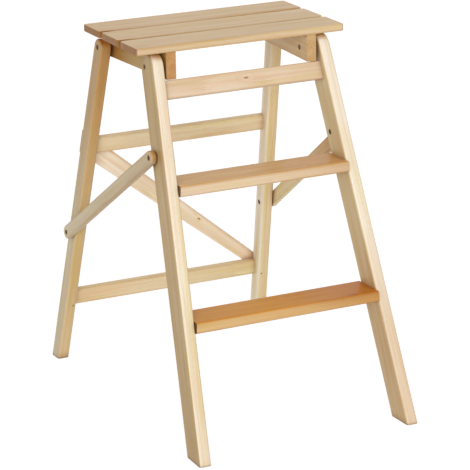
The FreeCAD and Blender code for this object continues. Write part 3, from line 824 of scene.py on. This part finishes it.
def group_middle(points):
    low = Vector(map(min, zip(*points)))
    high = Vector(map(max, zip(*points)))
    return (low + high) / 2


class Fastener:
    """A turned solid's axis and sizes, from its tail to the top of its head."""

    def __init__(self, points, axis):
        self.axis = Vector(axis).normalized()
        spots = [self.axis.dot(p) for p in points]
        self.start, self.end = min(spots), max(spots)
        self.length = self.end - self.start
        tops = [p for p, s in zip(points, spots) if s > self.end - TOP_LAYER]
        heart = sum(tops, Vector()) / len(tops)
        self.line = heart - self.axis * self.axis.dot(heart)
        radii = [(p - self.line - self.axis * s).length for p, s in zip(points, spots)]
        self.head_radius = max(radii)
        self.shank_radius = max(r for r, s in zip(radii, spots) if s < self.start + TAIL_LAYER)
        wide = [s for r, s in zip(radii, spots) if r > WIDE_SHARE * self.head_radius]
        self.neck = min(wide) - self.start

    def placed(self):
        """Turn and place that lay a shape made along X onto this fastener."""
        turn = self.axis.to_track_quat("X", "Z").to_matrix().to_4x4()
        return Matrix.Translation(self.line + self.axis * self.start) @ turn


def turned(mesh, profile, placed, steps=40):
    """Spins a profile of (place along X, radius) points into a closed solid."""
    verts = [mesh.verts.new((along, radius, 0.0)) for along, radius in profile]
    edges = [mesh.edges.new(pair) for pair in zip(verts, verts[1:])]
    before = set(mesh.verts) - set(verts)
    bmesh.ops.spin(mesh, geom=verts + edges, cent=(0, 0, 0), axis=(1, 0, 0), dvec=(0, 0, 0),
                   angle=math.tau, steps=steps, use_merge=True, use_duplicate=False)
    made = [v for v in mesh.verts if v not in before]
    bmesh.ops.remove_doubles(mesh, verts=made, dist=0.005 * MILLIMETRE)
    made = [v for v in mesh.verts if v not in before]
    bmesh.ops.transform(mesh, matrix=placed, verts=made)


def cross_cutter(mesh, placed, top, sizes):
    """Two crossed bars that sink a driver recess into a head's top, narrower at the bottom."""
    for arm_y, arm_z in ((sizes.cross_length, sizes.cross_width), (sizes.cross_width, sizes.cross_length)):
        made = bmesh.ops.create_cube(mesh, size=1.0)["verts"]
        bmesh.ops.scale(mesh, vec=(2 * sizes.cross_depth, arm_y, arm_z), verts=made)
        deep = [v for v in made if v.co.x < 0]
        bmesh.ops.scale(mesh, vec=RECESS_TAPER, verts=deep)
        bmesh.ops.translate(mesh, vec=(top, 0, 0), verts=made)
        bmesh.ops.transform(mesh, matrix=placed, verts=made)


def domed_profile(fastener, sizes):
    """Chamfered shank, flat seat and low domed head."""
    chamfer = SHANK_CHAMFER * fastener.shank_radius
    thickness = fastener.length - fastener.neck
    rim = fastener.neck + thickness * (1 - sizes.dome_share)
    points = [(0.0, 0.0), (0.0, fastener.shank_radius - chamfer), (chamfer, fastener.shank_radius),
              (fastener.neck, fastener.shank_radius), (fastener.neck, fastener.head_radius),
              (rim, fastener.head_radius)]
    for k in range(1, DOME_STEPS + 1):
        angle = math.pi / 2 * k / DOME_STEPS
        points.append((rim + (fastener.length - rim) * math.sin(angle),
                       fastener.head_radius * math.cos(angle)))
    return points


def countersunk_profile(fastener):
    """Pointed shank and a flat head that widens to its top."""
    radius = fastener.shank_radius
    top = fastener.length
    return [(0.0, 0.0), (SCREW_POINT * radius, radius), (top - SCREW_HEAD_HEIGHT, radius),
            (top - SCREW_HEAD_LAND, fastener.head_radius), (top, fastener.head_radius), (top, 0.0)]


def steel_piece(name, node, axes, profile_of, body, material, sizes):
    """Makes a node's fasteners again with turned heads and driver recesses."""
    mesh = bmesh.new()
    cutter = bmesh.new()
    for points, axis in zip(solids(node), axes):
        fastener = Fastener(points, axis)
        turned(mesh, profile_of(fastener), fastener.placed())
        cross_cutter(cutter, fastener.placed(), fastener.length, sizes)
    piece = object_from(mesh, name)
    tool = object_from(cutter, name + "_tool")
    cut = piece.modifiers.new("Driver recess", "BOOLEAN")
    cut.operation = "DIFFERENCE"
    cut.solver = "EXACT"
    cut.use_self = True
    cut.object = tool
    bpy.context.view_layer.update()
    finished = bpy.data.meshes.new_from_object(piece.evaluated_get(bpy.context.evaluated_depsgraph_get()))
    piece.modifiers.clear()
    piece.data = finished
    bpy.data.objects.remove(tool)
    finished.shade_smooth()
    finished.set_sharp_from_angle(angle=SHARP_ANGLE)
    finished.materials.clear()
    finished.materials.append(material)
    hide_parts(node)
    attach(piece, body)
    return piece


def object_from(mesh, name):
    """Turns a bmesh into an object at the origin, with its faces looking outwards."""
    bmesh.ops.recalc_face_normals(mesh, faces=mesh.faces)
    data = bpy.data.meshes.new(name)
    mesh.to_mesh(data)
    mesh.free()
    made = bpy.data.objects.new(name, data)
    bpy.context.scene.collection.objects.link(made)
    return made


# Operators, one for each piece or group of like pieces

class StoolOperator:
    """What every operator here shares."""

    bl_options = {"REGISTER", "UNDO"}


class STOOL_OT_slats(StoolOperator, bpy.types.Operator):
    """Finish the three seat slats"""

    bl_idname = "stool.slats"
    bl_label = "Seat Slats"

    def execute(self, context):
        wood = context.scene.stool_wood
        for node in ("seat_slat_front", "seat_slat_middle", "seat_slat_rear"):
            finish_board(node, wood.slat_face, wood.slat_edge, wood)
        return {"FINISHED"}


class STOOL_OT_cleats(StoolOperator, bpy.types.Operator):
    """Finish the cleats under the slats"""

    bl_idname = "stool.cleats"
    bl_label = "Cleats"

    def execute(self, context):
        wood = context.scene.stool_wood
        finish_board("cleat_left", wood.cleat_left, wood.cleat_left, wood,
                     end_tint=LEFT_CLEAT_END_TINT)
        finish_board("cleat_right", wood.cleat_right, wood.cleat_right, wood,
                     end_tint=RIGHT_CLEAT_END_TINT)
        return {"FINISHED"}


class STOOL_OT_front_frame(StoolOperator, bpy.types.Operator):
    """Finish the front legs and the top rail"""

    bl_idname = "stool.front_frame"
    bl_label = "Front Legs and Rail"

    def execute(self, context):
        wood = context.scene.stool_wood
        finish_board("front_leg_left", wood.front_left_face, wood.front_left_edge, wood,
                     end_tint=LEG_END_TINT)
        finish_board("front_leg_right", wood.front_right_face, wood.front_right_edge, wood,
                     end_tint=LEG_END_TINT)
        finish_board("top_rail", wood.rail, wood.rail, wood)
        return {"FINISHED"}


class STOOL_OT_treads(StoolOperator, bpy.types.Operator):
    """Finish the two treads"""

    bl_idname = "stool.treads"
    bl_label = "Treads"

    def execute(self, context):
        wood = context.scene.stool_wood
        finish_board("tread_upper", wood.upper_tread_face, wood.upper_tread_edge, wood,
                     end_tint=TREAD_END_SHADE_TINT)
        finish_board("tread_lower", wood.lower_tread_face, wood.lower_tread_edge, wood,
                     end_tint=TREAD_END_SHADE_TINT)
        return {"FINISHED"}


class STOOL_OT_rear_frame(StoolOperator, bpy.types.Operator):
    """Finish the rear legs, the crossbars and the diagonal brace"""

    bl_idname = "stool.rear_frame"
    bl_label = "Rear Frame"

    def execute(self, context):
        wood = context.scene.stool_wood
        finish_board("rear_leg_left", wood.rear_left_face, wood.rear_left_edge, wood,
                     end_tint=LEG_END_TINT)
        finish_board("rear_leg_right", wood.rear_right_face, wood.rear_right_edge, wood,
                     end_tint=LEG_END_TINT)
        for node in ("crossbar_upper", "crossbar_lower"):
            finish_board(node, wood.crossbar, wood.crossbar, wood)
        finish_board("diagonal_brace", wood.brace, wood.brace, wood)
        return {"FINISHED"}


class STOOL_OT_stays(StoolOperator, bpy.types.Operator):
    """Finish the two side stays"""

    bl_idname = "stool.stays"
    bl_label = "Side Stays"

    def execute(self, context):
        wood = context.scene.stool_wood
        finish_board("stay_left", wood.stay_left, wood.stay_left, wood, end_tint=STAY_END_TINT)
        finish_board("stay_right", wood.stay_right, wood.stay_right, wood, end_tint=STAY_END_TINT)
        return {"FINISHED"}


class STOOL_OT_pivot_bolts(StoolOperator, bpy.types.Operator):
    """Make the pivot bolts with domed heads and crossed driver recesses"""

    bl_idname = "stool.pivot_bolts"
    bl_label = "Pivot Bolts"

    def execute(self, context):
        sizes = context.scene.stool_steel
        material = bolt_steel(sizes)
        both = ((-1, 0, 0), (1, 0, 0))
        jobs = (("domed_bolts_seat_pivot", "seat_pivot_bolts", both, "front_frame"),
                ("domed_bolts_rear_pivot", "rear_pivot_bolts", both, "seat"),
                ("domed_bolts_stay_top", "stay_top_bolts", both, "front_frame"),
                ("domed_bolt_stay_left", "stay_bottom_bolt_left", both[:1], "stay_left"),
                ("domed_bolt_stay_right", "stay_bottom_bolt_right", both[1:], "stay_right"))
        for name, node, axes, body in jobs:
            steel_piece(name, node, axes, lambda f: domed_profile(f, sizes), body,
                        material, sizes)
        return {"FINISHED"}


class STOOL_OT_brace_screws(StoolOperator, bpy.types.Operator):
    """Make the countersunk screws that hold the diagonal brace"""

    bl_idname = "stool.brace_screws"
    bl_label = "Brace Screws"

    def execute(self, context):
        sizes = context.scene.stool_steel
        through = Board("diagonal_brace").turn.col[2]
        rearwards = through if through.y > 0 else -through
        axes = [rearwards] * len(solids("brace_screws"))
        steel_piece("countersunk_brace_screws", "brace_screws", axes, countersunk_profile, "rear_frame",
                    zinc_steel(sizes), sizes)
        return {"FINISHED"}


class STOOL_OT_small_steel(StoolOperator, bpy.types.Operator):
    """Finish the nuts, washers, slat screws and crossbar pins"""

    bl_idname = "stool.small_steel"
    bl_label = "Nuts, Washers, Screws and Pins"

    def execute(self, context):
        sizes = context.scene.stool_steel
        for node in ("seat_pivot_nuts", "rear_pivot_nuts", "stay_top_nuts", "stay_bottom_nuts"):
            dress(node, nut_steel(sizes))
        # the washers' zinc is painted dark as the shade in the gaps
        for node in ("seat_pivot_washers", "rear_pivot_washers", "stay_top_washers", "slat_screws",
                     "stay_bottom_washer_left", "stay_bottom_washer_right", "crossbar_pins"):
            dress(node, zinc_steel(sizes))
        return {"FINISHED"}


class STOOL_OT_stage(StoolOperator, bpy.types.Operator):
    """Set up the floor, the soft lamps, the white studio and the camera"""

    bl_idname = "stool.stage"
    bl_label = "Studio Stage"

    def execute(self, context):
        stage = context.scene.stool_stage
        context.scene.view_settings.view_transform = "Standard"
        self.key_lamp(context, stage)
        self.studio_world(context, stage)
        self.floor(context, stage)
        self.camera(context, stage)
        return {"FINISHED"}

    def key_lamp(self, context, stage):
        lamp = bpy.data.lights.new("Key lamp", "SUN")
        lamp.energy = math.pi * stage.key_level
        lamp.angle = stage.key_size
        holder = bpy.data.objects.new("Key lamp", lamp)
        towards = heading(stage.key_turn, stage.key_height)
        holder.rotation_euler = towards.to_track_quat("Z", "Y").to_euler()
        context.scene.collection.objects.link(holder)

    def studio_world(self, context, stage):
        world = bpy.data.worlds.new("Studio")
        context.scene.world = world
        world.use_nodes = True
        world.node_tree.nodes.clear()
        shader = Shader(world.node_tree)
        outwards = shader.node("TexCoord").outputs["Generated"]
        front = heading(stage.front_turn, stage.front_height)
        facing = shader.math("MAXIMUM", shader.vector("DOT_PRODUCT", outwards, front), 0.0)
        wall = shader.math("MULTIPLY", shader.math("MULTIPLY", facing, facing), stage.front_level)
        fill = shader.node("Background", {"Color": solid_colour(stage.fill_tint),
                                          "Strength": stage.fill_level})
        lit = shader.node("Background", {"Color": (1.0, 1.0, 1.0, 1.0), "Strength": wall})
        both = shader.node("AddShader")
        shader.feed(both.inputs[0], fill.outputs[0])
        shader.feed(both.inputs[1], lit.outputs[0])
        white = shader.node("Background", {"Color": (1.0, 1.0, 1.0, 1.0), "Strength": 1.0})
        mixed = shader.node("MixShader", {"Fac": seen_directly(shader)})
        shader.feed(mixed.inputs[1], both.outputs[0])
        shader.feed(mixed.inputs[2], white.outputs[0])
        shader.node("OutputWorld", {"Surface": mixed.outputs[0]})

    def floor(self, context, stage):
        mesh = bmesh.new()
        bmesh.ops.create_grid(mesh, x_segments=1, y_segments=1, size=stage.floor_half)
        bmesh.ops.translate(mesh, vec=(0, 0, -0.2 * MILLIMETRE), verts=mesh.verts)
        floor = object_from(mesh, "floor")
        material, shader = new_material("Pale floor")
        material.node_tree.nodes.clear()
        seen = seen_directly(shader)
        bounce = solid_colour([stage.floor_bounce] * 3)
        matt = shader.node("BsdfDiffuse", {"Color": shader.blend(seen, bounce,
                                                                 solid_colour([stage.floor_tone] * 3))})
        glow = shader.node("Emission", {"Color": solid_colour(stage.floor_glow), "Strength": seen})
        both = shader.node("AddShader")
        shader.feed(both.inputs[0], matt.outputs[0])
        shader.feed(both.inputs[1], glow.outputs[0])
        shader.node("OutputMaterial", {"Surface": both.outputs[0]})
        floor.data.materials.append(material)

    def camera(self, context, stage):
        lens = bpy.data.cameras.new("Camera")
        lens.lens = stage.lens
        holder = bpy.data.objects.new("Camera", lens)
        turn, tilt, roll = stage.camera_turn, stage.camera_tilt, stage.camera_roll
        ahead = Vector((math.sin(turn) * math.cos(tilt), math.cos(turn) * math.cos(tilt), math.sin(tilt)))
        level = Vector((math.cos(turn), -math.sin(turn), 0.0))
        upright = level.cross(ahead)
        right = math.cos(roll) * level + math.sin(roll) * upright
        up = math.cos(roll) * upright - math.sin(roll) * level
        axes = Matrix((right, up, -ahead)).transposed().to_4x4()
        holder.matrix_world = Matrix.Translation(stage.camera_place) @ axes
        context.scene.collection.objects.link(holder)
        context.scene.camera = holder


def heading(turn, height):
    """Direction from the stool, by its turn from the front to the left and its height."""
    flat = math.cos(height)
    return Vector((-flat * math.sin(turn), -flat * math.cos(turn), math.sin(height)))


def seen_directly(shader):
    """1 for what the camera sees, also in a reflection or through glass, and 0 for light."""
    path = shader.node("LightPath")
    mirrored = shader.math("MAXIMUM", path.outputs["Is Glossy Ray"], path.outputs["Is Transmission Ray"])
    return shader.math("MAXIMUM", path.outputs["Is Camera Ray"], mirrored)


PIECE_OPERATORS = (
    STOOL_OT_slats, STOOL_OT_cleats, STOOL_OT_front_frame, STOOL_OT_treads, STOOL_OT_rear_frame,
    STOOL_OT_stays, STOOL_OT_pivot_bolts, STOOL_OT_brace_screws, STOOL_OT_small_steel,
    STOOL_OT_stage,
)


class STOOL_PT_panel(bpy.types.Panel):
    """Lists the stool's operators and what can be changed"""

    bl_label = "Folding Step Stool"
    bl_idname = "STOOL_PT_panel"
    bl_space_type = "VIEW_3D"
    bl_region_type = "UI"
    bl_category = "Stool"

    def draw(self, context):
        for operator in PIECE_OPERATORS:
            self.layout.operator(operator.bl_idname)
        for group in (context.scene.stool_wood, context.scene.stool_steel, context.scene.stool_stage):
            box = self.layout.box()
            for name in group.__annotations__:
                box.prop(group, name)


CLASSES = (StoolWood, StoolSteel, StoolStage, *PIECE_OPERATORS, STOOL_PT_panel)


def register():
    for cls in CLASSES:
        bpy.utils.register_class(cls)
    bpy.types.Scene.stool_wood = bpy.props.PointerProperty(type=StoolWood)
    bpy.types.Scene.stool_steel = bpy.props.PointerProperty(type=StoolSteel)
    bpy.types.Scene.stool_stage = bpy.props.PointerProperty(type=StoolStage)


def unregister():
    del bpy.types.Scene.stool_stage
    del bpy.types.Scene.stool_steel
    del bpy.types.Scene.stool_wood
    for cls in reversed(CLASSES):
        bpy.utils.unregister_class(cls)


def main():
    """Makes every piece and the stage."""
    register()
    bpy.ops.stool.slats()
    bpy.ops.stool.cleats()
    bpy.ops.stool.front_frame()
    bpy.ops.stool.treads()
    bpy.ops.stool.rear_frame()
    bpy.ops.stool.stays()
    bpy.ops.stool.pivot_bolts()
    bpy.ops.stool.brace_screws()
    bpy.ops.stool.small_steel()
    bpy.ops.stool.stage()


if __name__ == "__main__":
    main()
